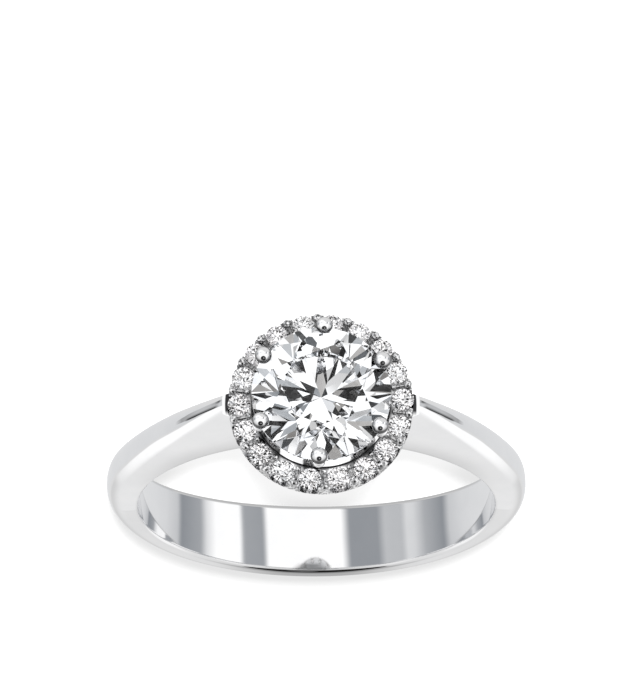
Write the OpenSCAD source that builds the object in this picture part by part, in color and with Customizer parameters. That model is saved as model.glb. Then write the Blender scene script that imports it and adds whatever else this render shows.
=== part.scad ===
// Halo ring: a round centre stone on six ball-tipped prongs, a halo of small
// stones round it, and a polished shank whose shoulders rise to the halo.
// All metal is soldered into one solid, and every stone is a solid of its own.
// The ring is drawn upright, with the finger hole along Y and the head at +Z,
// and is then laid on its side, as it rests on a table. The origin is the
// middle of the finger hole.

/* [Finger hole] */
// Inner diameter of the ring
finger_d = 17; // [15:0.1:20]

/* [Shank] */
// Width of the shank at its base
shank_w_base = 3.45; // [2.8:0.01:4]
// Width of the shank at the finger hole under the head
shank_w_head = 1.45; // [1.2:0.01:1.9]
// Thickness of the shank at its crest, from the base to the sides
shank_t = 1.5; // [1.3:0.01:1.8]
// Height of the side faces of the base, as a share of its thickness
side_share = 0.3; // [0.25:0.01:0.5]
// Softened edge between the finger hole and the side faces
edge_soft = 0.2; // [0.1:0.01:0.25]
// Width of the softened crest along the middle of the shank
crest_w = 0.12; // [0.08:0.01:0.2]

/* [Shoulders] */
// Radius of the slow outward bow of a shoulder
shoulder_bow_r = 30; // [28:1:60]
// Width of a shoulder at the end of its crest
shoulder_w_end = 0.9; // [0.8:0.01:1.2]
// Height of the side faces of the shoulders, as a share of their thickness
shoulder_side_share = 0.86; // [0.8:0.01:0.9]
// Width of the filed flat on top of a shoulder at the halo
flat_w = 0.38; // [0.2:0.01:0.45]
// Height over which the filed flat runs out to a point
flat_run = 3; // [2:0.1:4]
// Clear space between the halo and the end of a shoulder's crest
shoulder_gap = 0.3; // [0.2:0.01:0.4]
// Drop from the halo's top face to the end of a shoulder's crest
shoulder_drop = 0.05; // [0:0.01:0.1]
// Height of the small step at the end of a shoulder
shoulder_step = 0.35; // [0.25:0.01:0.45]

/* [Centre stone] */
// Diameter of the centre stone
stone_d = 6.4; // [6:0.05:6.8]
// Height of the centre stone's girdle over the finger hole
head_h = 4.9; // [4.7:0.05:5.4]

/* [Cut of the stones] */
// Table width as a share of the stone's diameter
table_share = 0.57; // [0.53:0.01:0.62]
// Angle of the crown's main facets
crown_angle = 34.5; // [32:0.1:36]
// Angle of the pavilion's main facets
pavilion_angle = 40.75; // [40:0.05:41.5]
// Length of the star facets as a share of the crown
star_share = 0.5; // [0.45:0.01:0.55]
// Length of the lower halves as a share of the pavilion
lower_share = 0.77; // [0.7:0.01:0.82]
// Thickness of the girdle where it is thinnest, as a share of the diameter
girdle_share = 0.01; // [0.005:0.001:0.02]

/* [Halo] */
// Number of stones in the halo
halo_count = 18; // [16:1:19]
// Diameter of a halo stone
halo_stone_d = 1.02; // [0.9:0.01:1.06]
// Space between the centre stone and the halo stones, seen from the top
halo_space = 0.06; // [0.06:0.01:0.12]
// Drop from the centre stone's girdle to the halo stones' girdles
halo_drop = 1.12; // [1:0.01:1.2]
// Turn of the first halo stone from the shank's plane
halo_turn = 2.1; // [0:0.1:10]
// Thickness of the halo's plate
halo_t = 1.1; // [1:0.01:1.3]
// How far the girdles of the halo stones stand over the plate
halo_proud = 0.02; // [0.01:0.005:0.03]
// How far the halo stones stand out past the plate's rim
halo_overhang = 0.04; // [0.02:0.01:0.06]
// Width of the sloped lower edge of the plate
halo_slope_w = 0.3; // [0.2:0.01:0.4]
// Height of the sloped lower edge of the plate
halo_slope_h = 0.45; // [0.3:0.01:0.5]
// Diameter of the round cut in the rim beside each halo stone
rim_cut_d = 0.96; // [0.8:0.01:1]
// Drop from the plate to the axis of the rim cuts
rim_cut_drop = 0.2; // [0.1:0.01:0.25]
// Depth of the rim cuts from the rim inwards
rim_cut_depth = 0.3; // [0.2:0.01:0.35]
// Diameter of the hole drilled under each halo stone
drill_d = 0.6; // [0.4:0.01:0.7]

/* [Beads] */
// Diameter of the outer bead between two halo stones
bead_d = 0.4; // [0.34:0.01:0.42]
// Diameter of the inner bead between two halo stones
small_bead_d = 0.26; // [0.2:0.01:0.28]
// Diameter of the bar that joins the two beads
bead_bar_d = 0.2; // [0.14:0.01:0.22]
// Height of the bead centres over the plate
bead_rise = 0.08; // [0.05:0.01:0.1]
// Distance of the outer bead centres in from the plate's rim
bead_in = 0.16; // [0.14:0.01:0.2]
// Distance of the inner bead centres out from the collar
small_bead_out = 0.25; // [0.2:0.01:0.28]

/* [Prongs and basket] */
// Diameter of a prong's wire
prong_d = 0.56; // [0.5:0.01:0.64]
// Distance of the prong centres out from the centre stone's girdle
prong_out = 0.02; // [0.01:0.005:0.05]
// Diameter of the ball at a prong's tip
tip_d = 0.78; // [0.7:0.01:0.86]
// Height of the ball centres over the centre stone's girdle
tip_rise = 0.54; // [0.48:0.01:0.58]
// Distance of the ball centres in from the centre stone's girdle
tip_in = 0.05; // [0.03:0.01:0.1]
// Turn of the prongs from the shank's plane
prong_turn = 27.6; // [20:0.1:35]
// Distance of the prong roots from the head's axis
root_r = 1.55; // [1.4:0.01:1.7]
// Wall of the polished collar under the centre stone
collar_t = 0.42; // [0.36:0.01:0.5]
// Drop from the centre stone's girdle to the collar's top edge
collar_drop = 0.13; // [0.12:0.01:0.2]
// Diameter of the wire of the lower gallery rail
rail_d = 0.6; // [0.5:0.01:0.7]
// Thickness of the shank's bridge under the head
bridge_t = 1.25; // [1.1:0.01:1.4]
// Height of the cup that carries the prong roots
cup_h = 0.8; // [0.7:0.01:1]
// How far the cup is let down into the bridge
cup_sink = 0.42; // [0.3:0.01:0.5]
// Wall of that cup
cup_t = 0.7; // [0.6:0.01:0.8]

/* [Fit] */
// Clearance between a stone and the metal round it
stone_gap = 0.03; // [0.02:0.005:0.04]

/* [Hidden] */
$fn = 48;
PRONG_COUNT = 6;
FACETS = 8;

finger_r = finger_d / 2;
shank_r = finger_r + shank_t;
stone_r = stone_d / 2;
halo_stone_r = halo_stone_d / 2;

// Heights over the middle of the finger hole
girdle_z = finger_r + head_h;
halo_girdle_z = girdle_z - halo_drop;
halo_top_z = halo_girdle_z - halo_proud;
halo_bottom_z = halo_top_z - halo_t;
bridge_z = finger_r + bridge_t;
cup_z = bridge_z - cup_sink;
tip_z = girdle_z + tip_rise;

// Distances from the head's axis
collar_out = stone_r - stone_gap;
collar_in = collar_out - collar_t;
halo_ring_r = stone_r + halo_space + halo_stone_r;
halo_rim_r = halo_ring_r + halo_stone_r - halo_overhang;
bead_r = halo_rim_r - bead_in;
small_bead_r = collar_out + small_bead_out;
prong_top_r = stone_r + prong_out;
tip_r = stone_r - tip_in;
well_r = halo_ring_r - halo_stone_r / 3;

// The shoulder's crest is an arc of shoulder_bow_r that leaves the round shank
// without a kink and ends beside the halo.
end_x = halo_rim_r + shoulder_gap;
end_z = halo_top_z - shoulder_drop;
end_r = norm([end_x, end_z]);
bow_shift = shoulder_bow_r - shank_r;
bow_reach = (pow(shoulder_bow_r, 2) - pow(bow_shift, 2) - pow(end_r, 2)) / (2 * bow_shift);
shoulder_start = atan2(end_z, end_x) - acos(bow_reach / end_r);

// Crest radius at an angle over the sides of the ring
function crest_r(angle) =
    angle < shoulder_start
        ? shank_r
        : -bow_shift * cos(angle - shoulder_start)
            + sqrt(pow(shoulder_bow_r, 2) - pow(bow_shift * sin(angle - shoulder_start), 2));

// Side faces: half the width at a height. The shank narrows from its base to
// the head, and each shoulder narrows on to its end.
function half_width(z) =
    z < finger_r
        ? mix(shank_w_base, shank_w_head, (z + finger_r) / finger_d) / 2
        : mix(shank_w_head, shoulder_w_end, min((z - finger_r) / (end_z - finger_r), 1)) / 2;

// Half the width of the flat on the crest
function flat_half(z) =
    let (run = (z - (end_z - flat_run)) / flat_run)
    crest_w / 2 + (flat_w - crest_w) / 2 * sqrt(min(max(run, 0), 1));

function smooth(x) = let (t = min(max(x, 0), 1)) t * t * (3 - 2 * t);
function mix(a, b, share) = a + (b - a) * share;

// Angles between which the high dome of the base turns into the low dome of
// the shoulders
BLEND_FROM = -30;
BLEND_TO = 45;
DOME_STEPS = 5;

// Half section at a station, as points of half width and radius: the softened
// edge, the side face, and a quarter of an ellipse that the flat cuts short
function half_section(angle) =
    let (
        rise = sin(angle),
        inner_r = finger_r - edge_soft,
        edge_r = finger_r + edge_soft,
        crest = crest_r(angle),
        low = smooth((angle - BLEND_FROM) / (BLEND_TO - BLEND_FROM)),
        side_r = mix(finger_r, crest, mix(side_share, shoulder_side_share, low)),
        dome_end = acos(flat_half(crest * rise) / half_width(side_r * rise))
    )
    concat(
        [[half_width(inner_r * rise) - 2 * edge_soft, inner_r]],
        [[half_width(edge_r * rise), edge_r]],
        [for (i = [0:DOME_STEPS])
            let (
                turn = dome_end * i / DOME_STEPS,
                r = mix(side_r, crest, sin(turn) / sin(dome_end))
            )
            [half_width(r * rise) * cos(turn), r]]
    );

// Stations round the shank, from the base up one side and down the other
LOWER_STEPS = 18;
UPPER_STEPS = 22;
HEAD_STEPS = 2;
HEAD_ANGLE = 76;
SIDE_STATIONS = concat(
    [for (i = [0:LOWER_STEPS - 1]) 90 * i / LOWER_STEPS],
    [for (i = [0:UPPER_STEPS - 1]) 90 + HEAD_ANGLE * i / UPPER_STEPS],
    [for (i = [0:HEAD_STEPS - 1]) 90 + HEAD_ANGLE + (90 - HEAD_ANGLE) * i / HEAD_STEPS]
);
STATIONS = concat(
    SIDE_STATIONS,
    [180],
    [for (i = [len(SIDE_STATIONS) - 1:-1:1]) 360 - SIDE_STATIONS[i]]
);

// One closed section of the shank, at a turn from its base
function shank_section(turn) =
    let (
        half = half_section(abs(turn > 180 ? 360 - turn : turn) - 90),
        last = len(half) - 1
    )
    concat(
        [for (p = half) [p[1] * sin(turn), p[0], -p[1] * cos(turn)]],
        [for (i = [last:-1:0]) [half[i][1] * sin(turn), -half[i][0], -half[i][1] * cos(turn)]]
    );

// Triangles of a closed tube of rings
function tube_faces(rings, sides) =
    [for (i = [0:rings - 1]) for (j = [0:sides - 1])
        let (
            i2 = (i + 1) % rings,
            j2 = (j + 1) % sides,
            a = i * sides + j,
            b = i * sides + j2,
            c = i2 * sides + j2,
            d = i2 * sides + j
        )
        each [[a, b, c], [a, c, d]]];

module shank_form() {
    sections = [for (turn = STATIONS) shank_section(turn)];
    polyhedron(
        points = [for (section = sections) each section],
        faces = tube_faces(len(STATIONS), len(sections[0]))
    );
}

// The shank with its two shoulders and the flat bridge under the head
module shank() {
    difference() {
        shank_form();
        rotate([90, 0, 0])
            cylinder(r = finger_r, h = 2 * shank_w_base, center = true);
        translate([0, 0, bridge_z])
            cylinder(r = well_r, h = 2 * shank_r);
        translate([0, 0, end_z - shoulder_step])
            cylinder(r = end_x, h = 2 * shank_r);
    }
}

// Plate and collar of the halo in one turned piece
module halo_plate() {
    collar_top_z = girdle_z - collar_drop;
    rotate_extrude()
        polygon([
            [collar_in, halo_bottom_z],
            [halo_rim_r - halo_slope_w, halo_bottom_z],
            [halo_rim_r, halo_bottom_z + halo_slope_h],
            [halo_rim_r, halo_top_z],
            [collar_out, halo_top_z],
            [collar_out, collar_top_z],
            [collar_in, collar_top_z]
        ]);
}

// Turns its children to each place between or at the halo stones
module round_halo(shift) {
    for (i = [0:halo_count - 1])
        rotate([0, 0, halo_turn + 360 * (i + shift) / halo_count])
            children();
}

// Round cuts in the rim and drilled holes under the halo stones
module halo_cuts() {
    round_halo(0) {
        translate([halo_rim_r - rim_cut_depth, 0, halo_top_z - rim_cut_drop])
            rotate([0, 90, 0])
                cylinder(d = rim_cut_d, h = halo_t);
        translate([halo_ring_r, 0, halo_bottom_z - drill_d])
            cylinder(d = drill_d, h = halo_t + drill_d - halo_stone_r / 2);
    }
}

// Two beads and a bar in each gap between halo stones
module halo_beads() {
    round_halo(0.5) {
        translate([bead_r, 0, halo_top_z + bead_rise])
            sphere(d = bead_d);
        translate([small_bead_r, 0, halo_top_z + bead_rise])
            sphere(d = small_bead_d);
        translate([small_bead_r, 0, halo_top_z])
            rotate([0, 90, 0])
                cylinder(d = bead_bar_d, h = bead_r - small_bead_r);
    }
}

// Distance of the prong centres from the head's axis at a height
function prong_r(z) = mix(root_r, prong_top_r, (z - cup_z) / (girdle_z - cup_z));

// Six prongs that lean out from the cup, with an elbow and a ball each
ELBOW_SHARE = 1.1;
module prongs() {
    rise = girdle_z - cup_z;
    run = prong_top_r - root_r;
    for (i = [0:PRONG_COUNT - 1])
        rotate([0, 0, prong_turn + 360 * i / PRONG_COUNT]) {
            translate([root_r, 0, cup_z])
                rotate([0, atan2(run, rise), 0])
                    cylinder(d = prong_d, h = norm([rise, run]));
            translate([prong_top_r, 0, girdle_z])
                sphere(d = prong_d * ELBOW_SHARE);
            translate([tip_r, 0, tip_z])
                sphere(d = tip_d);
        }
}

// Cup that stands on the bridge, and the round rail above it. The prongs
// stand out of both.
PRONG_PROUD = 0.3;
module basket() {
    cup_top_z = cup_z + cup_h;
    rail_z = (cup_top_z + halo_bottom_z) / 2;
    proud = prong_d / 2 * PRONG_PROUD;
    rotate_extrude()
        polygon([
            [prong_r(cup_top_z) + proud - cup_t, cup_z],
            [prong_r(cup_z) + proud, cup_z],
            [prong_r(cup_top_z) + proud, cup_top_z],
            [prong_r(cup_top_z) + proud - cup_t, cup_top_z]
        ]);
    translate([0, 0, rail_z])
        rotate_extrude()
            translate([prong_r(rail_z) - rail_d / 4, 0])
                circle(d = rail_d);
}

// Radii and heights of a brilliant of diameter d, from its girdle's middle.
// The facets run on past the girdle to the corner ring, which lies outside it.
CORNER_REACH = 1.03;
HALF_STEP = 180 / FACETS;
function corner_r(d) = d / 2 * CORNER_REACH;
function table_r(d) = d / 2 * table_share;
function star_r(d) = mix(table_r(d) * cos(HALF_STEP), d / 2, star_share);
function lower_r(d) = d / 2 * (1 - lower_share);
function crown_z(d, r) = d * girdle_share / 2 + (corner_r(d) - r) * tan(crown_angle);
function pavilion_z(d, r) = -d * girdle_share / 2 - (corner_r(d) - r) * tan(pavilion_angle);
function star_z(d) = crown_z(d, star_r(d) * cos(HALF_STEP));
function lower_z(d) = pavilion_z(d, lower_r(d) * cos(HALF_STEP));

function facet_ring(r, z, count, shift) =
    [for (i = [0:count - 1])
        let (turn = 360 * (i + shift) / count)
        [r * cos(turn), r * sin(turn), z]];

// Round brilliant: table, stars, kites, upper halves, girdle, lower halves
// and pavilion mains. The round girdle trims the corners of the facets.
module brilliant(d) {
    n = FACETS;
    stars = n;
    upper = 2 * n;
    lower = 4 * n;
    inner = 6 * n;
    culet = 7 * n;
    points = concat(
        facet_ring(table_r(d), crown_z(d, table_r(d)), n, 0),
        facet_ring(star_r(d), star_z(d), n, 0.5),
        facet_ring(corner_r(d), crown_z(d, corner_r(d)), 2 * n, 0),
        facet_ring(corner_r(d), pavilion_z(d, corner_r(d)), 2 * n, 0),
        facet_ring(lower_r(d), lower_z(d), n, 0.5),
        [[0, 0, pavilion_z(d, 0)]]
    );
    facets = [for (k = [0:n - 1])
        let (
            next = (k + 1) % n,
            back = (k + n - 1) % n,
            g = 2 * k,
            g1 = 2 * k + 1,
            g2 = (2 * k + 2) % (2 * n)
        )
        each [
            [next, stars + k, k],
            [k, stars + k, upper + g, stars + back],
            [stars + k, upper + g1, upper + g],
            [stars + k, upper + g2, upper + g1],
            [upper + g, upper + g1, lower + g1, lower + g],
            [upper + g1, upper + g2, lower + g2, lower + g1],
            [inner + k, lower + g, lower + g1],
            [inner + k, lower + g1, lower + g2],
            [culet, inner + back, lower + g, inner + k]
        ]];
    table = [for (k = [n - 1:-1:0]) k];
    intersection() {
        polyhedron(points = points, faces = concat([table], facets));
        cylinder(d = d, h = 2 * d, center = true);
    }
}

// The room that the metal leaves for a stone: its outline turned round, plus
// the clearance
module stone_room(d) {
    girdle = d * (girdle_share + (CORNER_REACH - 1)) / 2 + stone_gap;
    rotate_extrude()
        polygon([
            [0, pavilion_z(d, 0) - stone_gap / cos(pavilion_angle)],
            [lower_r(d) + stone_gap, lower_z(d) - stone_gap],
            [d / 2 + stone_gap, -girdle],
            [d / 2 + stone_gap, girdle],
            [star_r(d) + stone_gap, star_z(d) + stone_gap],
            [table_r(d) + stone_gap, crown_z(d, table_r(d)) + stone_gap],
            [0, crown_z(d, table_r(d)) + stone_gap]
        ]);
}

// The edge of the base's dome and the lower corner of the halo touch the table
rim_low_r = finger_r + shank_t * side_share;
rim_low_w = half_width(-rim_low_r);
lie_tilt = atan2(halo_rim_r - rim_low_w, rim_low_r + halo_bottom_z + halo_slope_h);

// Lays the upright ring on its side, head towards -Y
module lay_down() {
    rotate([90 - lie_tilt, 0, 0])
        rotate([0, 0, 180])
            children();
}

// All the soldered metal
module metal_mount() {
    color("silver")
        lay_down()
            difference() {
                union() {
                    shank();
                    basket();
                    prongs();
                    difference() {
                        halo_plate();
                        halo_cuts();
                    }
                    halo_beads();
                }
                translate([0, 0, girdle_z])
                    stone_room(stone_d);
                round_halo(0)
                    translate([halo_ring_r, 0, halo_girdle_z])
                        stone_room(halo_stone_d);
            }
}

module centre_stone() {
    color("azure")
        lay_down()
            translate([0, 0, girdle_z])
                brilliant(stone_d);
}

// Halo stone i of halo_count
module halo_stone(i) {
    color("aliceblue")
        lay_down()
            rotate([0, 0, halo_turn + 360 * (i - 1) / halo_count])
                translate([halo_ring_r, 0, halo_girdle_z])
                    brilliant(halo_stone_d);
}

function halo_name(i) = str("halo_stone_", i < 10 ? "0" : "", i);

metal_mount();
centre_stone();
for (i = [1:halo_count])
    halo_stone(i);
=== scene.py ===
import math

import bpy
import bmesh
import numpy as np
from mathutils import Matrix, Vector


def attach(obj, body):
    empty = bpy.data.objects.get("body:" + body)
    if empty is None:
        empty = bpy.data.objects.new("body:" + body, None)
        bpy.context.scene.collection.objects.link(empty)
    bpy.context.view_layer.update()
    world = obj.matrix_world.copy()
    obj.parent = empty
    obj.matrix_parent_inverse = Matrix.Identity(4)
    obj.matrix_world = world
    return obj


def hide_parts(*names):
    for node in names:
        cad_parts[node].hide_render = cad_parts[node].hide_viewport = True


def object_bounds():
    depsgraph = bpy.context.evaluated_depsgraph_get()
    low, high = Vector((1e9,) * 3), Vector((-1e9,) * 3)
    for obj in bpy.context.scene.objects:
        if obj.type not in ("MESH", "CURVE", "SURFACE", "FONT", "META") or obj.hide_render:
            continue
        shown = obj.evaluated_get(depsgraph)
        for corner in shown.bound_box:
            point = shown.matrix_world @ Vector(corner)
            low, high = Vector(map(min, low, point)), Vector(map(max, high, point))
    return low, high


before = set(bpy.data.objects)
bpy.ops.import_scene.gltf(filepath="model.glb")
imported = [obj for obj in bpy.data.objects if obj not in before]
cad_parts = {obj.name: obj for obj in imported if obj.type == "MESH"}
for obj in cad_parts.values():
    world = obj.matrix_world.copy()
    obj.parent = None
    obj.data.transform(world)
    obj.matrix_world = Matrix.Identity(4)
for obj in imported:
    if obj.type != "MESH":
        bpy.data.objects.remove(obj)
cad_box = [list(corner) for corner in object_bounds()]


# Shank and shoulders. The real one is a band of rhodium-plated white gold, cast in
# one piece with its two shoulders and mirror polished. The base is a high dome, and
# each shoulder is a low one that narrows up to the halo, with a filed flat on top.

# Millimetres on the upright ring: finger along Y, head towards +Z. The band is 0.01 mm
# thinner and 0.02 mm narrower than its solid, so that the rounder dome stays inside it
FINGER_R = 8.5
SHANK_T = 1.49
SHANK_R = FINGER_R + SHANK_T
WIDTH_BASE, WIDTH_HEAD, WIDTH_END = 3.43, 1.45, 0.9
EDGE_SOFT, BORE_BOW = 0.2, 0.03
BORE_EDGE = 1.2 * EDGE_SOFT
DOME_H, SHOULDER_DOME_H = 1.05, 0.62
BLEND_FROM, BLEND_TO = -30.0, 45.0
FULLNESS, SWELL = 2.6, 0.09
CREST_W, FLAT_W, FLAT_RUN = 0.12, 0.38, 3.0
CREASE_SOFT, CREASE_PULL, CREASE_LIMIT = 0.012, 0.28, 0.4
SHOULDER_BOW_R = 30.0
END_X, END_Z, END_STEP = 4.54, 12.21, 0.35
BRIDGE_Z, WELL_R, WELL_TOP_Z = 9.75, 3.6, 20
STATIONS, DOME_STEPS = 288, 22
BORE_SHARES = (0, 0.17, 0.33, 0.5, 0.6, 0.7, 0.8, 0.9, 1)
EDGE_TURNS = (9, 27, 45, 63, 81)
SIDE_SHARES = (0.1, 0.25, 0.4, 0.55, 0.7, 0.85)

bow_shift = SHOULDER_BOW_R - SHANK_R
end_r = math.hypot(END_X, END_Z)
bow_reach = (SHOULDER_BOW_R**2 - bow_shift**2 - end_r**2) / (2 * bow_shift)
shoulder_start = math.degrees(math.atan2(END_Z, END_X) - math.acos(bow_reach / end_r))


def smooth(value, low, high):
    """Rises smoothly from 0 at low to 1 at high."""
    share = min(max((value - low) / (high - low), 0), 1)
    return share * share * (3 - 2 * share)


def half_width(z):
    """Half the width of the band at a height."""
    if z < FINGER_R:
        return (WIDTH_BASE + (WIDTH_HEAD - WIDTH_BASE) * (z + FINGER_R) / (2 * FINGER_R)) / 2
    return (WIDTH_HEAD + (WIDTH_END - WIDTH_HEAD) * min((z - FINGER_R) / (END_Z - FINGER_R), 1)) / 2


def crest_r(angle):
    """Radius of the crest at an angle over the sides of the ring, in degrees."""
    past = math.radians(angle - shoulder_start)
    if past < 0:
        return SHANK_R
    return math.sqrt(SHOULDER_BOW_R**2 - (bow_shift * math.sin(past)) ** 2) - bow_shift * math.cos(past)


def along_flat(z):
    """How far along the filed flat a height is, from 0 at its point to 1 at the halo."""
    return min(max((z - (END_Z - FLAT_RUN)) / FLAT_RUN, 0), 1)


def flat_half(run):
    """Half the width of the filed flat."""
    return (CREST_W + (FLAT_W - CREST_W) * math.sqrt(run)) / 2


def half_section(angle):
    """Points of half width and radius, from the middle of the bore to the middle of the crest."""
    crest = crest_r(angle)
    rise = math.sin(math.radians(angle))
    low = smooth(angle, BLEND_FROM, BLEND_TO)
    run = along_flat(crest * rise)
    flat = flat_half(run)
    edge_r = FINGER_R + EDGE_SOFT
    wide = half_width(edge_r * rise)
    # The bore is bowed a little by the polishing
    points = [
        ((wide - BORE_EDGE) * share, FINGER_R - BORE_BOW * (1 - share * share))
        for share in BORE_SHARES
    ]
    for turn in np.radians(EDGE_TURNS):
        w = wide - EDGE_SOFT * (1 - math.sin(turn))
        points.append((w, FINGER_R + EDGE_SOFT * (1 - math.cos(turn))))
    side_r = crest - DOME_H + (DOME_H - SHOULDER_DOME_H) * low
    power = 2 / (2 + (FULLNESS - 2) * low * (1 - run))
    for share in SIDE_SHARES:
        r = edge_r + (side_r - edge_r) * share
        points.append((half_width(r * rise) + SWELL * low * math.sin(share * math.pi / 2), r))
    dome_end = math.acos((flat / (half_width(side_r * rise) + SWELL * low)) ** (1 / power))
    for turn in np.linspace(0, dome_end, DOME_STEPS):
        r = side_r + (crest - side_r) * (math.sin(turn) / math.sin(dome_end)) ** power
        swell = SWELL * low * (1 - (r - side_r) / (crest - side_r))
        points.append(((half_width(r * rise) + swell) * math.cos(turn) ** power, r))
    # The crease at the flat is rounded a little by the polishing
    side, corner = np.array(points[-2]), np.array(points.pop())
    soft = min(CREASE_SOFT, CREASE_LIMIT * np.linalg.norm(side - corner))
    back = (side - corner) / np.linalg.norm(side - corner)
    ahead = np.array([-1.0, 0.0])
    for reach in (2, 1):
        points.append(tuple(corner + back * soft * reach))
    points.append(tuple(corner + (back + ahead) * soft * CREASE_PULL))
    for reach in (1, 2):
        points.append(tuple(corner + ahead * soft * reach))
    inner = flat - 2 * soft
    points += [(inner * 0.55, crest), (0, crest)]
    return points


class Socket:
    """One output of a node. Arithmetic on it adds Math nodes to its tree."""

    def __init__(self, tree, output=None):
        self.tree, self.output = tree, output

    def node(self, kind, settings=None, inputs=None, output=0):
        """Adds a node: its settings first, then the values or links of its sockets."""
        made = self.tree.nodes.new(kind)
        for name, value in (settings or {}).items():
            if name == "stops":
                ramp = made.color_ramp
                for _ in value[2:]:
                    ramp.elements.new(0.5)
                for element, (place, colour) in zip(ramp.elements, value):
                    element.position, element.color = place, colour
            else:
                setattr(made, name, value)
        for name, value in (inputs or {}).items():
            for one in value if isinstance(value, list) else [value]:
                if isinstance(one, Socket):
                    self.tree.links.new(one.output, made.inputs[name])
                else:
                    made.inputs[name].default_value = one
        return Socket(self.tree, made.outputs[output] if made.outputs else None)

    def also(self, name):
        """Another output of the same node."""
        return Socket(self.tree, self.output.node.outputs[name])

    def maths(self, operation, *others):
        """A Math node on this output and what else it takes."""
        return self.node("ShaderNodeMath", {"operation": operation}, dict(enumerate([self, *others])))

    def __add__(self, other):
        return self.maths("ADD", other)

    def __sub__(self, other):
        return self.maths("SUBTRACT", other)

    def __rsub__(self, other):
        return self.node("ShaderNodeMath", {"operation": "SUBTRACT"}, {0: other, 1: self})

    def __mul__(self, other):
        return self.maths("MULTIPLY", other)

    __radd__, __rmul__ = __add__, __mul__

    def step(self, low, high):
        """Rises smoothly from 0 at low to 1 at high."""
        ends = {"Value": self, "From Min": low, "From Max": high}
        return self.node("ShaderNodeMapRange", {"interpolation_type": "SMOOTHSTEP"}, ends)

    def blend(self, first, second):
        """The first colour where this is 0, and the second where it is 1."""
        ends = {0: self, 6: first, 7: second}
        return self.node("ShaderNodeMix", {"data_type": "RGBA"}, ends, output=2)


def finish_and_place(name):
    """A new material with an empty tree, and the place on a piece that its patterns go by."""
    finish = bpy.data.materials.new(name)
    finish.use_nodes = True
    finish.node_tree.nodes.clear()
    return finish, Socket(finish.node_tree).node("ShaderNodeTexCoord", output="Object")


GOLD_PALE, GOLD_GREY = (0.93, 0.93, 0.935, 1), (0.90, 0.902, 0.91, 1)
# The dark grey that painted shade turns the metal towards, and how dark a painted speck is
GOLD_SHADED, SPECK_SHADE = (0.02, 0.02, 0.022, 1), 0.9
HAZE_SCALE, WAVE_SCALE, SPECK_SCALE = 700.0, 260.0, 9500.0
POLISH, POLISH_HAZE = 0.03, 0.04


def white_gold():
    """Mirror polish with a breath of haze and the faintest waves left by the felt wheel, with painted
    shade, specks and highlights laid over it.
    """
    finish, place = finish_and_place("white_gold")
    haze = place.node("ShaderNodeTexNoise", {}, {"Vector": place, "Scale": HAZE_SCALE, "Detail": 5.0})
    waves = place.node("ShaderNodeTexNoise", {}, {"Vector": place, "Scale": WAVE_SCALE, "Detail": 1.0})
    tone = haze.step(0.3, 0.7).blend(GOLD_PALE, GOLD_GREY)
    # Painted shade from each piece's points darkens the metal for the dark things its polish would
    # mirror, broken into painted specks for the stones' sparkle
    shade = place.node("ShaderNodeAttribute", {"attribute_name": "shade"}, output="Fac")
    speck = place.node("ShaderNodeAttribute", {"attribute_name": "speck"}, output="Fac")
    painted_speck_noise = place.node("ShaderNodeTexNoise", {}, {"Vector": place, "Scale": SPECK_SCALE, "Detail": 0.0})
    shade = shade + (SPECK_SHADE - shade) * speck * painted_speck_noise.step(0.5, 0.54)
    tone = shade.blend(tone, GOLD_SHADED)
    # A shade under 0 is a painted highlight: it glows, standing for the gleam of a white card
    gleam = (0 - shade).maths("MAXIMUM", 0.0)
    gleam = place.node("ShaderNodeCombineXYZ", {}, {0: gleam, 1: gleam, 2: gleam})
    bump = place.node(
        "ShaderNodeBump", {}, {"Height": waves, "Strength": 0.04, "Distance": 0.0001}, output="Normal"
    )
    metal = place.node("ShaderNodeBsdfPrincipled", {}, {
        "Base Color": tone, "Metallic": 1.0, "Roughness": POLISH + POLISH_HAZE * haze,
        "Normal": bump, "Emission Color": gleam, "Emission Strength": 1.0,
    })
    metal.node("ShaderNodeOutputMaterial", {}, {"Surface": metal})
    return finish


gold = white_gold()

# The ring lies on its side: the edge of the base's dome and the halo's lower corner touch
LIE_TILT = 6.901
LAY = (
    Matrix.Rotation(math.radians(90 - LIE_TILT), 4, "X")
    @ Matrix.Rotation(math.pi, 4, "Z")
    @ Matrix.Scale(0.001, 4)
)
SHARP = math.radians(32)
ON_AXIS = 1e-6


def helper(name, points, faces):
    """An object of plain mesh on the upright ring, in millimetres."""
    mesh = bpy.data.meshes.new(name)
    mesh.from_pydata(points, [], faces)
    shape = bmesh.new()
    shape.from_mesh(mesh)
    bmesh.ops.recalc_face_normals(shape, faces=shape.faces)
    shape.to_mesh(mesh)
    shape.free()
    made = bpy.data.objects.new(name, mesh)
    bpy.context.scene.collection.objects.link(made)
    return made


def finished_mesh(shape):
    """The plain mesh that a helper and its modifiers make."""
    bpy.context.view_layer.update()
    seen = shape.evaluated_get(bpy.context.evaluated_depsgraph_get())
    return bpy.data.meshes.new_from_object(seen)


def settle(name, shape, shade=None):
    """Keeps what a helper has become as one piece of the mount, laid down in its place.

    A shade function gives how dark a point's painted shade is, and how much of it is broken into
    painted specks; below 0 it is a painted highlight.
    """
    mesh = finished_mesh(shape)
    if shade:
        values = np.array([shade(*vertex.co) for vertex in mesh.vertices])
        for column, title in enumerate(("shade", "speck")):
            layer = mesh.attributes.new(title, "FLOAT", "POINT")
            layer.data.foreach_set("value", values[:, column])
    mesh.transform(LAY)
    mesh.materials.clear()
    mesh.materials.append(gold)
    mesh.shade_smooth()
    mesh.set_sharp_from_angle(angle=SHARP)
    piece = bpy.data.objects.new(name, mesh)
    bpy.context.scene.collection.objects.link(piece)
    bpy.data.objects.remove(shape)
    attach(piece, "root")
    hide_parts("metal_mount")


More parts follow.
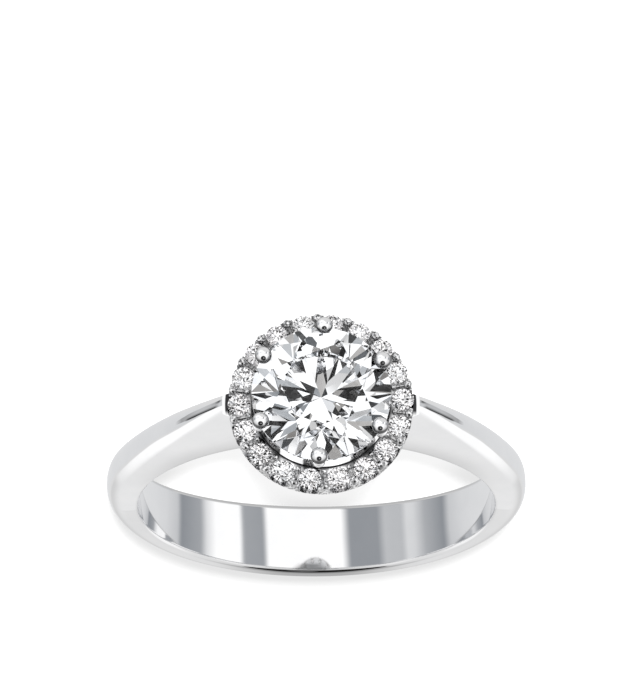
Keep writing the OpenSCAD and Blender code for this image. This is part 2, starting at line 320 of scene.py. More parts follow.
def turned(name, profile, steps=96):
    """A closed profile of radius and height, turned round the head's axis."""
    points, rows = [], []
    for r, z in profile:
        around = steps if r > ON_AXIS else 1
        rows.append(range(len(points), len(points) + around))
        for i in range(around):
            turn = math.tau * i / steps
            points.append((r * math.cos(turn), r * math.sin(turn), z))
    faces = []
    for a, b in zip(rows, rows[1:] + rows[:1]):
        for i in range(steps):
            j = (i + 1) % steps
            face = [a[i % len(a)], a[j % len(a)], b[j % len(b)], b[i % len(b)]]
            face = list(dict.fromkeys(face))
            if len(face) > 2:
                faces.append(face)
    return helper(name, points, faces)


def cut(shape, tool):
    """Cuts a helper out of a shape, and takes the helper away."""
    saw = shape.modifiers.new("cut", "BOOLEAN")
    saw.operation, saw.solver, saw.object = "DIFFERENCE", "EXACT", tool
    mesh = finished_mesh(shape)
    shape.modifiers.remove(saw)
    shape.data = mesh
    bpy.data.objects.remove(tool)


# The angle over the sides runs from -90 at the base to 90 under the head
points, faces = [], []
for i in range(STATIONS):
    turn = math.tau * i / STATIONS
    half = half_section(180 - abs(math.degrees(turn) - 180) - 90)
    loop = half + [(-w, r) for w, r in half[-2:0:-1]]
    points += [(r * math.sin(turn), w, -r * math.cos(turn)) for w, r in loop]
sides = len(points) // STATIONS
for i in range(STATIONS):
    for j in range(sides):
        a, b = i * sides, (i + 1) % STATIONS * sides
        k = (j + 1) % sides
        faces.append((a + j, a + k, b + k, b + j))
band = helper("band", points, faces)
ledge_z = END_Z - END_STEP
# The ledge's painted shade leaves it bright along its rim, so a row of points stands on each side of
# that line
LEDGE_RIM, LEDGE_LINE, LEDGE_DIP = 0.15, 0.03, 0.001
rim_r = END_X - LEDGE_RIM
cut(band, turned("well", [
    (0, BRIDGE_Z), (WELL_R, BRIDGE_Z), (WELL_R, ledge_z), (rim_r, ledge_z - LEDGE_DIP),
    (rim_r + LEDGE_LINE, ledge_z - LEDGE_DIP), (END_X, ledge_z), (END_X, WELL_TOP_Z), (0, WELL_TOP_Z),
]))

# Painted shade and painted reflections on the shank: how dark each place is, and from where to where it
# fades
EDGE_DARK, EDGE_FAINT, EDGE_BACK = 0.45, 0.1, 0.35
EDGE_ALONG, EDGE_OVER, EDGE_DOWN = (1.0, 5.5), (-0.02, 0.08), (-1.0, -0.5)
OVAL_DARK, OVAL_X, OVAL_W, OVAL_H, OVAL_FADE = 0.62, -0.1, 0.95, 0.52, (0.7, 1.15)
LEDGE_DARK, LEDGE_FRONT = 0.98, (-0.5, -0.3)
SIDE_DARK, SIDE_FRONT, SIDE_UP, SIDE_OUT = 0.2, -0.3, (2, 7), (0.1, 1.9)
TOP_DARK, TOP_RUN, TOP_ACROSS = 0.9, 0.2, (0.2, 0.5)
LENS_DARK, LENS_ACROSS, LENS_RUN = 0.97, (-0.6, -0.2), (0.12, 0.3)
FLAT_GREY, FLAT_START, FLAT_PALER, PALER_RUN = 0.5, (0, 0.1), 0.3, (0.1, 0.6)
CORNER_DARK, CORNER_RUN, CORNER_ACROSS = 0.5, (0.8, 0.95), (0, 0.6)
# By how much a point may lie off its place
HAIR, CREST_HAIR, ACROSS_HAIR = 0.01, 0.004, 0.02


def base_shade(x, y, z):
    """Painted dark reflections along the edges of the base, and in a half oval at the middle of the
    bore.
    """
    r = math.hypot(x, z)
    edge = half_width(z) - EDGE_SOFT
    near = 1 - smooth(abs(x), *EDGE_ALONG)
    rim = EDGE_FAINT + EDGE_DARK * near if y < 0 else EDGE_BACK
    rim *= smooth(abs(y), edge + EDGE_OVER[0], edge + EDGE_OVER[1])
    rim *= 1 - smooth(r, SHANK_R + EDGE_DOWN[0], SHANK_R + EDGE_DOWN[1])
    oval = math.hypot((x - OVAL_X) / OVAL_W, (y + half_width(z)) / OVAL_H)
    return max(rim, OVAL_DARK * (r < FINGER_R + HAIR) * (1 - smooth(oval, *OVAL_FADE)))


def flat_shade(x, run, across):
    """A painted reflection on the filed flat: a dark lens along its front, and grey behind it."""
    if abs(x) < END_X + TOP_RUN:
        return TOP_DARK * smooth(across, *TOP_ACROSS)
    lens = (1 - smooth(across, *LENS_ACROSS)) * smooth(run, *LENS_RUN)
    back = FLAT_GREY - FLAT_PALER * smooth(run, *PALER_RUN)
    back += CORNER_DARK * smooth(run, *CORNER_RUN) * smooth(across, *CORNER_ACROSS)
    return max(LENS_DARK * lens, back * smooth(run, *FLAT_START))


def shank_shade(x, y, z):
    """Painted reflections, dark where the polish would mirror the dark side of the studio: the flats
    and the base's edges, and a painted shadow on the ledge.
    """
    if z < 0:
        return base_shade(x, y, z), 0.0
    # A painted shadow in the gap on the ledge by the halo, left off its front and its rim
    if abs(x) < END_X + HAIR and z > ledge_z - HAIR:
        return LEDGE_DARK * smooth(y, *LEDGE_FRONT) * (math.hypot(x, y) < rim_r + HAIR), 0.0
    r = math.hypot(x, z)
    # The shoulders' fronts get a painted shade, darker towards the bore and higher up
    if y < SIDE_FRONT:
        near = 1 - smooth(r, FINGER_R + SIDE_OUT[0], FINGER_R + SIDE_OUT[1])
        return SIDE_DARK * smooth(z, *SIDE_UP) * near, 0.0
    run = along_flat(z)
    across = y / flat_half(run)
    on_crest = r > crest_r(math.degrees(math.atan2(z, abs(x)))) - CREST_HAIR
    if run <= 0 or abs(across) > 1 + ACROSS_HAIR or not on_crest:
        return 0.0, 0.0
    return flat_shade(x, run, across), 0.0


settle("shank", band, shank_shade)


# Cup and rail. They are turned from white gold rod: the cup is let into the bridge
# under the head and holds the prong roots, and the round rail ties the prongs.
GIRDLE_Z = 13.4
STONE_R = 3.2
ROOT_R, PRONG_TOP_R, PRONG_R = 1.55, 3.22, 0.28
PRONG_PROUD = 0.3 * PRONG_R
CUP_Z, CUP_H, CUP_T, CUP_SOFT = 9.33, 0.8, 0.7, 0.06
RAIL_D, RAIL_Z, RAIL_STEPS = 0.6, 10.645, 24
EASE_STEPS, EASE_LIMIT, EASE_PAST = 5, 0.4, 1.15


def prong_r(z):
    """Distance of a prong's middle from the head's axis at a height."""
    return ROOT_R + (PRONG_TOP_R - ROOT_R) * (z - CUP_Z) / (GIRDLE_Z - CUP_Z)


def eased(profile, radius):
    """A closed profile with its corners rounded, and a row close to each side of a corner."""
    made = []
    for i, corner in enumerate(profile):
        corner = np.array(corner, float)
        to_last = np.array(profile[i - 1]) - corner
        to_next = np.array(profile[(i + 1) % len(profile)]) - corner
        if corner[0] < ON_AXIS:
            made.append(tuple(corner))
            continue
        last_l, next_l = np.linalg.norm(to_last), np.linalg.norm(to_next)
        last, after = to_last / last_l, to_next / next_l
        half = math.acos(max(-1, min(1, last @ after))) / 2
        reach = min(radius / math.tan(half), EASE_LIMIT * min(last_l, next_l))
        round_r = reach * math.tan(half)
        middle = corner + (last + after) / np.linalg.norm(last + after) * round_r / math.sin(half)
        start, end = corner + last * reach - middle, corner + after * reach - middle
        made.append(tuple(corner + last * reach * EASE_PAST))
        for share in np.linspace(0, 1, EASE_STEPS):
            arm = start * (1 - share) + end * share
            made.append(tuple(middle + arm / np.linalg.norm(arm) * round_r))
        made.append(tuple(corner + after * reach * EASE_PAST))
    return made


cup_top = CUP_Z + CUP_H
cup = turned("cup", eased([
    (prong_r(cup_top) + PRONG_PROUD - CUP_T, CUP_Z),
    (prong_r(CUP_Z) + PRONG_PROUD, CUP_Z),
    (prong_r(cup_top) + PRONG_PROUD, cup_top),
    (prong_r(cup_top) + PRONG_PROUD - CUP_T, cup_top),
], CUP_SOFT))
settle("head_cup", cup)
rail_r = prong_r(RAIL_Z) - RAIL_D / 4
rail = turned("rail", [
    (rail_r + RAIL_D / 2 * math.cos(turn), RAIL_Z + RAIL_D / 2 * math.sin(turn))
    for turn in np.linspace(0, math.tau, RAIL_STEPS, endpoint=False)
])
settle("gallery_rail", rail)


# Prongs. Six round wires are soldered into the cup and lean out past the rail. Each
# is notched at the stone's girdle, bent over it and finished with a polished ball.
PRONG_COUNT, PRONG_TURN = 6, 27.6
TIP_R, TIP_Z, TIP_BALL_R, ELBOW_R = 3.15, 13.94, 0.39, 0.308
WIRE_SIDES, BALL_SIDES = 28, 40


def grow(name, start, sizes, build):
    """Runs a node tree on a helper, and leaves the helper with the result as a plain mesh."""
    tree = bpy.data.node_groups.new(name, "GeometryNodeTree")
    tree.interface.new_socket("Start", in_out="INPUT", socket_type="NodeSocketGeometry")
    kinds = {int: "NodeSocketInt", float: "NodeSocketFloat", bpy.types.Object: "NodeSocketObject"}
    named = [
        tree.interface.new_socket(size, in_out="INPUT", socket_type=kinds[type(value)])
        for size, value in sizes.items()
    ]
    tree.interface.new_socket("Grown", in_out="OUTPUT", socket_type="NodeSocketGeometry")
    given = Socket(tree).node("NodeGroupInput")
    made = build(given, given.also)
    whole = made.node("GeometryNodeRealizeInstances", {}, {0: made})
    dressed = whole.node("GeometryNodeSetMaterial", {}, {"Geometry": whole, "Material": gold})
    dressed.node("NodeGroupOutput", {}, {"Grown": dressed})
    grower = start.modifiers.new(name, "NODES")
    grower.node_group = tree
    for socket, value in zip(named, sizes.values()):
        grower[socket.identifier] = value
    mesh = finished_mesh(start)
    start.modifiers.remove(grower)
    start.data = mesh


def round_about(shape, count, turn, step):
    """Instances of a shape turned about the head's axis, one for each of count places."""
    spots = shape.node("GeometryNodePoints", {}, {"Count": count})
    index = shape.node("GeometryNodeInputIndex")
    twist = shape.node("ShaderNodeCombineXYZ", {}, {"Z": turn + index * step})
    return shape.node(
        "GeometryNodeInstanceOnPoints", {}, {"Points": spots, "Instance": shape, "Rotation": twist}
    )


def ball(radius, out, up, sides):
    """A ball set out from the head's axis and up along it."""
    whole = radius.node(
        "GeometryNodeMeshUVSphere", {}, {"Segments": sides, "Rings": sides // 2, "Radius": radius}
    )
    place = whole.node("ShaderNodeCombineXYZ", {}, {"X": out, "Z": up})
    return whole.node("GeometryNodeTransform", {}, {"Geometry": whole, "Translation": place})


def without(shape, tools):
    """A shape with tools cut out of it."""
    return shape.node(
        "GeometryNodeMeshBoolean",
        {"operation": "DIFFERENCE", "solver": "EXACT"},
        {"Mesh 1": shape, "Mesh 2": tools, "Self Intersection": True},
    )


def prong_tree(path, size):
    """One bent wire with its elbow and ball, set six times and notched for the stone."""
    line = path.node("GeometryNodeMeshToCurve", {}, {"Mesh": path})
    section = line.node(
        "GeometryNodeCurvePrimitiveCircle", {}, {"Resolution": WIRE_SIDES, "Radius": size("Wire")}
    )
    wire = line.node(
        "GeometryNodeCurveToMesh", {}, {"Curve": line, "Profile Curve": section, "Fill Caps": True}
    )
    elbow = ball(size("Elbow"), size("Elbow out"), size("Elbow up"), BALL_SIDES)
    tip = ball(size("Ball"), size("Ball out"), size("Ball up"), BALL_SIDES)
    one = line.node("GeometryNodeJoinGeometry", {}, {"Geometry": [wire, elbow, tip]})
    ring = round_about(one, size("Count"), size("Turn"), math.tau / PRONG_COUNT)
    room = line.node("GeometryNodeObjectInfo", {}, {"Object": size("Stone room")}, output="Geometry")
    whole = ring.node("GeometryNodeRealizeInstances", {}, {0: ring})
    return without(whole, room)


# The room for a brilliant: its outline turned round, with a little air. What its cut
# takes is told in shares of its radius
STONE_GAP = 0.03
CROWN, PAVILION = math.radians(34.5), math.radians(40.75)
TABLE, STAR, LOWER, FACET_IN = 0.57, 0.77, 0.23, 0.924
CUT_REACH, CUT_START, GIRDLE_H = 1.03, 0.01, 0.04


def stone_room(name, radius, middle_r=0.0, middle_z=0.0, drill=None, steps=96):
    """The outline of a stone's crown, girdle and pavilion, with the drilled hole below it."""

    def facet_z(r, slope):
        """Height over the girdle's middle at which a cone of facets has a radius."""
        return radius * CUT_START + (radius * CUT_REACH - r) * math.tan(slope)

    table, star, lower = radius * TABLE, radius * STAR, radius * LOWER
    top = facet_z(table, CROWN) + STONE_GAP
    girdle = radius * GIRDLE_H + STONE_GAP
    profile = [
        (0, top), (table + STONE_GAP, top),
        (star + STONE_GAP, facet_z(star * FACET_IN, CROWN) + STONE_GAP),
        (radius + STONE_GAP, girdle), (radius + STONE_GAP, -girdle),
    ]
    if drill:
        hole_r, hole_z = drill
        profile += [(hole_r, -facet_z(hole_r, PAVILION) - STONE_GAP), (hole_r, hole_z), (0, hole_z)]
    else:
        profile += [(lower + STONE_GAP, -facet_z(lower * FACET_IN, PAVILION) - STONE_GAP)]
        profile += [(0, -facet_z(0, PAVILION) - STONE_GAP / math.cos(PAVILION))]
    made = turned(name, profile, steps)
    made.data.transform(Matrix.Translation((middle_r, 0, middle_z)))
    return made


path = bpy.data.objects.new("prong_path", bpy.data.meshes.new("prong_path"))
path.data.from_pydata(
    [(ROOT_R, 0, CUP_Z), (PRONG_TOP_R, 0, GIRDLE_Z), (TIP_R, 0, TIP_Z)], [(0, 1), (1, 2)], []
)
bpy.context.scene.collection.objects.link(path)
room = stone_room("centre_room", STONE_R, middle_z=GIRDLE_Z)
grow("prongs", path, {
    "Wire": PRONG_R,
    "Elbow": ELBOW_R, "Elbow out": PRONG_TOP_R, "Elbow up": GIRDLE_Z,
    "Ball": TIP_BALL_R, "Ball out": TIP_R, "Ball up": TIP_Z,
    "Count": PRONG_COUNT, "Turn": math.radians(PRONG_TURN),
    "Stone room": room,
}, prong_tree)
bpy.data.objects.remove(room)

# How dark the painted reflection round a ball is and how bright its painted highlight; the highlight is
# off the ball's middle by shares of its radius
BALL_DARK, BALL_GLEAM = 0.9, 0.5
BALL_TOP, BALL_FOOT = (0.4, 0.7), (-0.6, -0.3)
GLEAM_SIDE, GLEAM_FORE, GLEAM_RISE, GLEAM_FADE = -0.28, 0.05, 0.6, (0.15, 0.42)


def prong_shade(x, y, z):
    """Painted reflections on the balls: dark round their sides for the dark seats and the stone, and a
    painted highlight on top for a white card.
    """
    rise = (z - TIP_Z) / TIP_BALL_R
    step = 360 / PRONG_COUNT
    near = step * round((math.degrees(math.atan2(y, x)) - PRONG_TURN) / step) + PRONG_TURN
    side = (x - TIP_R * math.cos(math.radians(near))) / TIP_BALL_R
    fore = (y - TIP_R * math.sin(math.radians(near))) / TIP_BALL_R
    off = math.hypot(side - GLEAM_SIDE, fore - GLEAM_FORE)
    gleam = BALL_GLEAM * (1 - smooth(off, *GLEAM_FADE)) * (rise > GLEAM_RISE)
    return BALL_DARK * (1 - smooth(rise, *BALL_TOP)) * smooth(rise, *BALL_FOOT) - gleam, 0.0


settle("prongs", path, prong_shade)


# Halo plate. It is turned from white gold with a polished collar that frames the
# centre stone. A bur cuts eighteen seats with drilled holes under them, and a
# round cut in the rim beside each seat lets light into its stone.
HALO_COUNT, HALO_TURN = 18, 2.1
HALO_STONE_R, HALO_RING_R, HALO_GIRDLE_Z = 0.51, 3.77, 12.28
HALO_RIM_R, HALO_TOP_Z, HALO_T = 4.24, 12.26, 1.1
SLOPE_W, SLOPE_H = 0.3, 0.45
COLLAR_IN, COLLAR_OUT, COLLAR_TOP_Z = 2.75, 3.17, 13.27
PLATE_SOFT, PLATE_STEPS, BUR_STEPS = 0.03, 180, 36
DRILL_R, DRILL_PAST = 0.3, 0.5
RIM_CUT_R, RIM_CUT_LONG, RIM_CUT_DEPTH, RIM_CUT_DROP = 0.48, 1.2, 0.3, 0.2
WALL_CORNER, WALL_ROWS = 5, (0.1, 0.17)


def seat_tree(plate, size):
    """Seats and rim cuts taken out of the plate, one pair for each halo stone."""
    seats = []
    for tool in ("Seat bur", "Rim bur"):
        bur = plate.node("GeometryNodeObjectInfo", {}, {"Object": size(tool)}, output="Geometry")
        ring = round_about(bur, size("Count"), size("Turn"), math.tau / HALO_COUNT)
        seats.append(ring.node("GeometryNodeRealizeInstances", {}, {0: ring}))
    return without(plate, seats)


halo_bottom_z = HALO_TOP_Z - HALO_T
rows = eased([
    (COLLAR_IN, halo_bottom_z),
    (HALO_RIM_R - SLOPE_W, halo_bottom_z),
    (HALO_RIM_R, halo_bottom_z + SLOPE_H),
    (HALO_RIM_R, HALO_TOP_Z),
    (COLLAR_OUT, HALO_TOP_Z),
    (COLLAR_OUT, COLLAR_TOP_Z),
    (COLLAR_IN, COLLAR_TOP_Z),
], PLATE_SOFT)
# Two more rows at the foot of the collar's wall, where its painted dark foot ends: each of the corners
# before it has its rounding and a row on either side
wall_row = WALL_CORNER * (EASE_STEPS + 2)
rows[wall_row:wall_row] = [(COLLAR_OUT, HALO_TOP_Z + up) for up in WALL_ROWS]
plate = turned("plate", rows, PLATE_STEPS)
cut(plate, stone_room("centre_room", STONE_R, middle_z=GIRDLE_Z, steps=PLATE_STEPS))
seat_bur = stone_room(
    "seat_bur", HALO_STONE_R, HALO_RING_R, HALO_GIRDLE_Z,
    drill=(DRILL_R, halo_bottom_z - HALO_GIRDLE_Z - DRILL_PAST), steps=BUR_STEPS,
)
rim_bur = turned(
    "rim_bur", [(0, 0), (RIM_CUT_R, 0), (RIM_CUT_R, RIM_CUT_LONG), (0, RIM_CUT_LONG)], BUR_STEPS
)
rim_bur.data.transform(
    Matrix.Translation((HALO_RIM_R - RIM_CUT_DEPTH, 0, HALO_TOP_Z - RIM_CUT_DROP))
    @ Matrix.Rotation(math.pi / 2, 4, "Y")
)
halo_turn = math.radians(HALO_TURN)
grow("seats", plate, {
    "Count": HALO_COUNT, "Turn": halo_turn, "Seat bur": seat_bur, "Rim bur": rim_bur,
}, seat_tree)
bpy.data.objects.remove(seat_bur)
bpy.data.objects.remove(rim_bur)

# The collar's painted dark reflections, arcs each with its middle and half its reach in degrees from
# the front, and a painted highlight on the wall between them
COLLAR_ARCS = ((-49, 12), (-9, 6), (38, 12))
COLLAR_DARK, COLLAR_GLEAM, COLLAR_GLEAM_TO = 0.97, 0.9, 66
ARC_FADE, COLLAR_GLEAM_FADE = 1, 10
# The wall's painted dark goes further over the collar's lip in front and on the left
LIP, LIP_WIDE, LIP_WIDE_TO = 0.01, 0.05, 20
WALL_LINE, RIM_LINE, SLOPE_LINE = 0.04, 0.02, 0.05
# How dark the painted shade and how dense the painted specks are on the plate and its rim in front, and
# how much more at the far side
FAR_Y = 3
PLATE_DARK, PLATE_DARKER, PLATE_SPECK, PLATE_SPECKLIER = 0.1, 0.4, 0.75, 0.25
RIM_DARKER, RIM_SPECK, RIM_SPECKLIER = 0.2, 0.9, 0.1


def plate_shade(x, y, z):
    """Painted shade between the stones, where the metal would only mirror more metal, broken into
    painted specks at the rim, with painted dark arcs and highlights on the collar.
    """
    r, turn = math.hypot(x, y), math.degrees(math.atan2(x, -y))
    lip = LIP_WIDE if turn < LIP_WIDE_TO else LIP
    if r < COLLAR_OUT - lip or z < halo_bottom_z + SLOPE_H - SLOPE_LINE:
        return 0.0, 0.0
    if r < COLLAR_OUT + WALL_LINE:
        deep = max(
            smooth(half + ARC_FADE - abs(turn - middle), 0, 2 * ARC_FADE)
            for middle, half in COLLAR_ARCS
        )
        # The foot of the wall is painted dark all round
        if z < HALO_TOP_Z + (WALL_ROWS[0] + WALL_ROWS[1]) / 2:
            deep = 1
        # Between the dark arcs the wall gets a painted highlight, fading out towards the sides
        gleam = COLLAR_GLEAM * smooth(COLLAR_GLEAM_TO - abs(turn), 0, COLLAR_GLEAM_FADE)
        return COLLAR_DARK * deep - gleam * (1 - deep), 0.0
    far = smooth(y, 0, FAR_Y)
    if r < HALO_RIM_R - RIM_LINE:
        return PLATE_DARK + PLATE_DARKER * far, PLATE_SPECK + PLATE_SPECKLIER * far
    return RIM_DARKER * far, RIM_SPECK + RIM_SPECKLIER * far


settle("halo_plate", plate, plate_shade)


# Beads. The setter raises them from the plate between the seats: a large one at the
# rim and a small one by the collar, with a bright-cut bar between the two.
BEAD_R, BEAD_OUT = 0.2, 4.08
SMALL_BEAD_R, SMALL_BEAD_OUT = 0.13, 3.42
BEAD_RISE, BAR_R = 0.08, 0.1
BEAD_SIDES, BAR_SIDES = 24, 20


def bead_tree(spot, size):
    """A gap's two beads and bar, set between each two halo stones."""
    outer = ball(size("Bead"), size("Bead out"), size("Bead up"), BEAD_SIDES)
    inner = ball(size("Small bead"), size("Small bead out"), size("Bead up"), BEAD_SIDES)
    length = size("Bead out") - size("Small bead out")
    rod = spot.node(
        "GeometryNodeMeshCylinder", {}, {"Vertices": BAR_SIDES, "Radius": size("Bar"), "Depth": length}
    )
    place = spot.node("ShaderNodeCombineXYZ", {}, {
        "X": size("Small bead out") + length * 0.5, "Z": size("Bar up"),
    })
    bar = spot.node("GeometryNodeTransform", {}, {
        "Geometry": rod, "Translation": place, "Rotation": (0, math.pi / 2, 0),
    })
    gap = spot.node("GeometryNodeJoinGeometry", {}, {"Geometry": [outer, inner, bar]})
    return round_about(gap, size("Count"), size("Turn"), math.tau / HALO_COUNT)


spot = helper("beads", [(0, 0, 0)], [])
grow("beads", spot, {
    "Bead": BEAD_R, "Bead out": BEAD_OUT,
    "Small bead": SMALL_BEAD_R, "Small bead out": SMALL_BEAD_OUT,
    "Bead up": HALO_TOP_Z + BEAD_RISE, "Bar": BAR_R, "Bar up": HALO_TOP_Z,
    "Count": HALO_COUNT, "Turn": halo_turn + math.pi / HALO_COUNT,
}, bead_tree)

# Painted shade and specks on the beads in front, and how much more at the far side
BEAD_DARK, BEAD_DARKER, BEAD_SPECK, BEAD_SPECKLIER = 0.35, 0.4, 0.7, 0.2
BEAD_TOP = (0.04, 0.12)


def bead_shade(x, y, z):
    """Painted shade: only the tops of the beads are left light, and the bars are painted as if in the
    shade of the stones, broken into painted specks.
    """
    middle_z = HALO_TOP_Z + BEAD_RISE
    top = smooth(z, middle_z + BEAD_TOP[0], middle_z + BEAD_TOP[1])
    far = smooth(y, 0, FAR_Y)
    return (BEAD_DARK + BEAD_DARKER * far) * (1 - top), BEAD_SPECK + BEAD_SPECKLIER * far


settle("halo_beads", spot, bead_shade)


# Stones. The centre stone is a colourless round brilliant of 6.4 mm with 57 facets,
# and the halo holds eighteen of the same cut at 1.02 mm. Their solids carry the
# exact facets, so they stay and take a polished diamond finish.
CLEAR, MIRROR_TINT = (1.0, 1.0, 1.0, 1), (0.15, 0.15, 0.15, 1)
CENTRE_TINT, HALO_TINT = (0.97, 0.98, 1.0, 1), (1.0, 0.975, 0.98, 1)
CENTRE_CLOUD, HALO_CLOUD = 350.0, 900.0
DIAMOND_IOR = 2.42


def diamond(name, tint, cloud_scale):
    """Clear stone that bends light strongly, with the faintest cloud of tint in it."""
    finish, place = finish_and_place(name)
    cloud = place.node("ShaderNodeTexNoise", {}, {"Vector": place, "Scale": cloud_scale, "Detail": 2.0})
    body = cloud.step(0.35, 0.65).blend(CLEAR, tint)
    stone = place.node("ShaderNodeBsdfPrincipled", {}, {
        "Base Color": body, "Roughness": 0.0, "IOR": DIAMOND_IOR, "Transmission Weight": 1.0,
        "Specular Tint": MIRROR_TINT,
    })
    stone.node("ShaderNodeOutputMaterial", {}, {"Surface": stone})
    return finish


centre_finish = diamond("polished_centre", CENTRE_TINT, CENTRE_CLOUD)
halo_finish = diamond("polished_halo", HALO_TINT, HALO_CLOUD)
for name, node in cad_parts.items():
    if name == "metal_mount":
        continue
    central = name == "centre_stone"
    node.data.materials.clear()
    node.data.materials.append(centre_finish if central else halo_finish)


# Table. A sheet of white acrylic with light under it, on which the ring lies. Inside the ring it glows
# more: a painted pool of light for what the polished bore throws.
FLOOR_HALF = 1.5
TABLE_PALE, TABLE_GREY = (0.11, 0.11, 0.11, 1), (0.1, 0.1, 0.1, 1)
TABLE_GLOW, PAINTED_BORE_LIGHT = 0.72, 0.2
PAINTED_BORE_LIGHT_IN, PAINTED_BORE_LIGHT_OUT = 0.0065, 0.0095

floor_z = cad_box[0][2]
floor = bpy.data.objects.new("floor", bpy.data.meshes.new("floor"))
floor.data.from_pydata(
    [(x * FLOOR_HALF, y * FLOOR_HALF, floor_z) for x, y in ((-1, -1), (1, -1), (1, 1), (-1, 1))],
    [], [(0, 1, 2, 3)],
)
bpy.context.scene.collection.objects.link(floor)
acrylic, place = finish_and_place("white_acrylic")
cast = place.node("ShaderNodeTexNoise", {}, {"Vector": place, "Scale": 3.0})
tone = cast.blend(TABLE_GREY, TABLE_PALE)
east = place.node("ShaderNodeSeparateXYZ", {}, {0: place})
north = east.also("Y")
out = (east * east + north * north).maths("SQRT")
# Painted pool of light on the table within the ring, fading out between the two radii
shine = 1 + PAINTED_BORE_LIGHT * (1 - out.step(PAINTED_BORE_LIGHT_IN, PAINTED_BORE_LIGHT_OUT))
shine = place.node("ShaderNodeCombineXYZ", {}, {0: shine, 1: shine, 2: shine})
table = place.node("ShaderNodeBsdfPrincipled", {}, {
    "Base Color": tone, "Roughness": 1.0, "Specular IOR Level": 0.0,
    "Emission Color": shine, "Emission Strength": TABLE_GLOW,
})
table.node("ShaderNodeOutputMaterial", {}, {"Surface": table})
floor.data.materials.append(acrylic)
floor.visible_glossy = False
floor.visible_transmission = False


# Tent. White cloth round the table, pale overhead and white at the head's side, with
# grey posts low at the sides, a dark opening for the lens and a grey cloth at the top.

# The grey of the low band by bearing, in degrees from the head's side
POSTS = (
    (-180, 0.78), (-125, 0.76), (-112, 0.72), (-99, 0.6), (-95, 0.3), (-78, 0.4), (-73, 0.8),
    (-66, 1.1), (-49, 1.1), (-46, 0.4), (-33, 0.36), (-30, 1.1), (17, 1.1), (22, 0.33),
    (41, 0.33), (46, 0.56), (58, 0.54), (62, 0.74), (67, 0.72), (76, 0.45), (92, 0.3),
    (98, 0.62), (112, 0.72), (125, 0.75), (180, 0.78),
)
POST_LEAN, POST_DROP, POSTS_LESS_RED, POSTS_MORE_BLUE = 0.03, 0.22, 0.02, 0.03
POST_FOOT, POST_HEAD, SKY_FOOT = (-0.48, -0.42), (-0.1, -0.05), (-0.03, 0.04)
LOW_LEVEL, SKY_LEVEL, SKY_WHITE, SKY_GREY, SKY_GREY_HIGH = 0.76, 0.88, 0.22, 0.2, 0.18
# From where to where these parts of the tent begin: by bearing, and at their tops by height
FRONT, BESIDE, BEHIND, DROPPED = (50, 75), (92, 106), (124, 146), (104, 122)
BESIDE_TOP, BEHIND_TOP, BEHIND_PALER = (0.45, 0.65), (0.65, 0.85), (-0.15, 0.3)
# Each patch of the tent: its height and bearing, its outer and inner edge, all in degrees
CLOTH, CLOTH_DARK = (76, 180, 36, 10), 0.4
OPENING, OPENING_DARK = (67, 0, 34, 31), 0.97
CARD, CARD_WHITE = (64, 14, 8, 6), 0.5

tent = bpy.data.worlds.new("tent")
bpy.context.scene.world = tent
tent.use_nodes = True
tent.node_tree.nodes.clear()
way = Socket(tent.node_tree).node("ShaderNodeTexCoord", output="Generated")
x = way.node("ShaderNodeSeparateXYZ", {}, {0: way})
y, z = x.also("Y"), x.also("Z")
# The bearing runs from 0 to 1: what is under the middle shows on the left of the bore
bearing = x.maths("ARCTAN2", 0 - y) * (0.5 / math.pi) + 0.5
aside = (bearing - 0.5).maths("ABSOLUTE")


def between(start, end):
    """Rises from 0 to 1 between two bearings, alike on both sides."""
    return aside.step(start / 360, end / 360)


posts = bearing.node("ShaderNodeValToRGB", {"stops": [
    (turn / 360 + 0.5, (level, level, level, 1)) for turn, level in POSTS
]}, {"Fac": bearing - POST_LEAN * (z + 0.2)})
# The posts' band stands lower behind the ring than beside it
rise = z + POST_DROP * between(*DROPPED)
low = rise.step(*POST_FOOT) * (1 - rise.step(*POST_HEAD))
above = rise.step(*SKY_FOOT)
# The sky is pale overhead, white at the head's side and low beside the ring, grey low behind it
behind = between(*BEHIND)
beside = between(*BESIDE) * (1 - behind) * (1 - z.step(*BESIDE_TOP))
front = 1 - between(*FRONT)
greyer = behind * (1 - z.step(*BEHIND_TOP)) * (SKY_GREY - SKY_GREY_HIGH * z.step(*BEHIND_PALER))
sky = SKY_LEVEL + SKY_WHITE * (beside + front) - greyer
glow = (LOW_LEVEL * (1 - above) + sky * above) * (1 - low) + posts * low


def patch(rise, swing, outer, inner):
    """1 within the inner angle of a direction, and 0 beyond the outer one, in degrees."""
    rise, swing = math.radians(rise), math.radians(swing)
    level = math.cos(rise)
    middle = (-math.sin(swing) * level, -math.cos(swing) * level, math.sin(rise))
    near = way.node(
        "ShaderNodeVectorMath", {"operation": "DOT_PRODUCT"}, {0: way, 1: middle}, output="Value"
    )
    return near.step(math.cos(math.radians(outer)), math.cos(math.radians(inner)))


glow = glow * (1 - CLOTH_DARK * patch(*CLOTH))
glow = glow * (1 - OPENING_DARK * patch(*OPENING)) + CARD_WHITE * patch(*CARD)

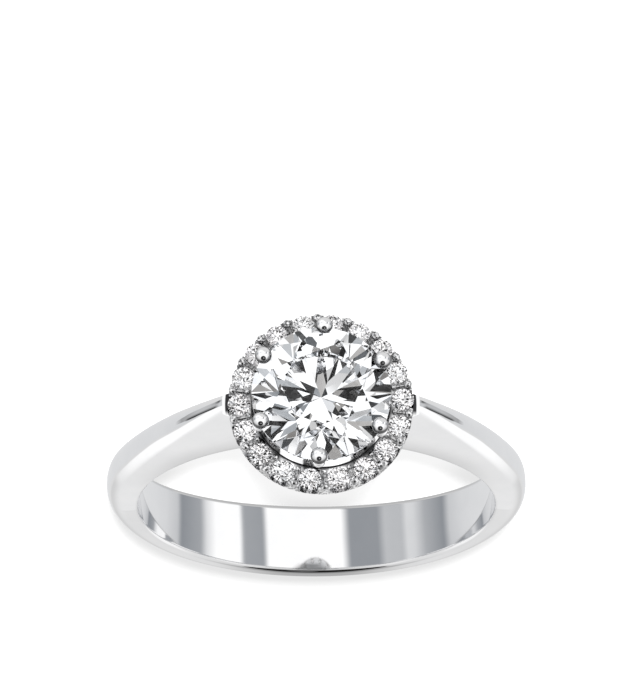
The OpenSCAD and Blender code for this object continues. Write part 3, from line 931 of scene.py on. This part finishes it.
# What shines into the stones: cards from white to black, some of them faintly tinted
cards = way.node("ShaderNodeTexNoise", {}, {"Vector": way, "Scale": 4.0, "Detail": 1.0})
sparkle = cards.node("ShaderNodeValToRGB", {"stops": [
    (0.38, (0.0, 0.0, 0.0, 1)), (0.4, (0.1, 0.11, 0.12, 1)), (0.405, (0.35, 0.37, 0.39, 1)),
    (0.425, (0.55, 0.57, 0.59, 1)), (0.43, (1.2, 1.22, 1.25, 1)), (0.47, (1.0, 1.02, 1.05, 1)),
    (0.475, (0.45, 0.45, 0.45, 1)), (0.49, (0.75, 0.75, 0.75, 1)), (0.495, (1.3, 1.3, 1.3, 1)),
    (0.54, (1.1, 1.1, 1.1, 1)), (0.545, (0.5, 0.49, 0.48, 1)), (0.565, (0.25, 0.24, 0.23, 1)),
    (0.57, (0.01, 0.01, 0.01, 1)), (0.6, (0.02, 0.02, 0.02, 1)), (0.605, (1.3, 1.3, 1.3, 1)),
]}, {"Fac": cards})
inside = way.node("ShaderNodeLightPath", output="Is Transmission Ray")
# The posts are a little cooler than the rest
cool = low * (1.1 - posts)
glow = way.node("ShaderNodeCombineXYZ", {}, {
    0: glow - POSTS_LESS_RED * cool, 1: glow, 2: glow + POSTS_MORE_BLUE * cool,
})
glow = inside.blend(glow, sparkle)
light = glow.node("ShaderNodeBackground", {}, {"Color": glow, "Strength": 1.0})
light.node("ShaderNodeOutputWorld", {}, {"Surface": light})


# Lamp. A small one stands low at the head's side. It casts the soft shadow on the
# table, and the polish doesn't mirror it.
LAMP_RISE, LAMP_FAR = math.radians(21), 0.6
LAMP_WATTS, LAMP_SIZE = 50.0, 0.05

lamp = bpy.data.objects.new("front_lamp", bpy.data.lights.new("front_lamp", "AREA"))
lamp.data.energy, lamp.data.size = LAMP_WATTS, LAMP_SIZE
lamp.matrix_world = (
    Matrix.Rotation(math.pi / 2 - LAMP_RISE, 4, "X") @ Matrix.Translation((0, 0, LAMP_FAR))
)
lamp.visible_glossy = False
lamp.visible_transmission = False
bpy.context.scene.collection.objects.link(lamp)


# Camera. It looks almost straight down onto the head, as in the photograph, which on
# the lying ring is from the head's side, 25 degrees above the table. It is rolled
# half a turn, so that the head stands over the base in the picture.
FOCAL_PX, PICTURE_PX, SENSOR, DISTANCE = 6282.0, 674, 36.0, 0.3
ELEVATION, RING_ROLL, RING_YAW = 71.9, 1.0, 0.23
ORIGIN_PX, MIDDLE_PX = (316.3, 485.2), (318.0, 337.0)
CLIP_NEAR, CLIP_FAR = 0.01, 10.0

camera = bpy.data.objects.new("camera", bpy.data.cameras.new("camera"))
bpy.context.scene.collection.objects.link(camera)
bpy.context.scene.camera = camera
camera.data.sensor_width = SENSOR
camera.data.lens = SENSOR * FOCAL_PX / PICTURE_PX
camera.data.clip_start, camera.data.clip_end = CLIP_NEAR, CLIP_FAR
pitch = math.atan((ORIGIN_PX[1] - MIDDLE_PX[1]) / FOCAL_PX)
swing = math.atan((ORIGIN_PX[0] - MIDDLE_PX[0]) / FOCAL_PX)
camera.matrix_world = (
    LAY @ Matrix.Scale(1000, 4)
    @ Matrix.Rotation(math.radians(-RING_ROLL), 4, "Y")
    @ Matrix.Rotation(math.radians(-RING_YAW), 4, "Z")
    @ Matrix.Rotation(math.radians(90 - ELEVATION), 4, "X")
    @ Matrix.Translation((0, 0, DISTANCE))
    @ Matrix.Rotation(swing, 4, "Y")
    @ Matrix.Rotation(pitch, 4, "X")
)

# Light has to pass many facets before it leaves a stone
scene = bpy.context.scene
scene.view_settings.view_transform = "Standard"
scene.cycles.use_denoising = True
scene.cycles.max_bounces = 32
scene.cycles.transmission_bounces = 24
scene.cycles.glossy_bounces = 12
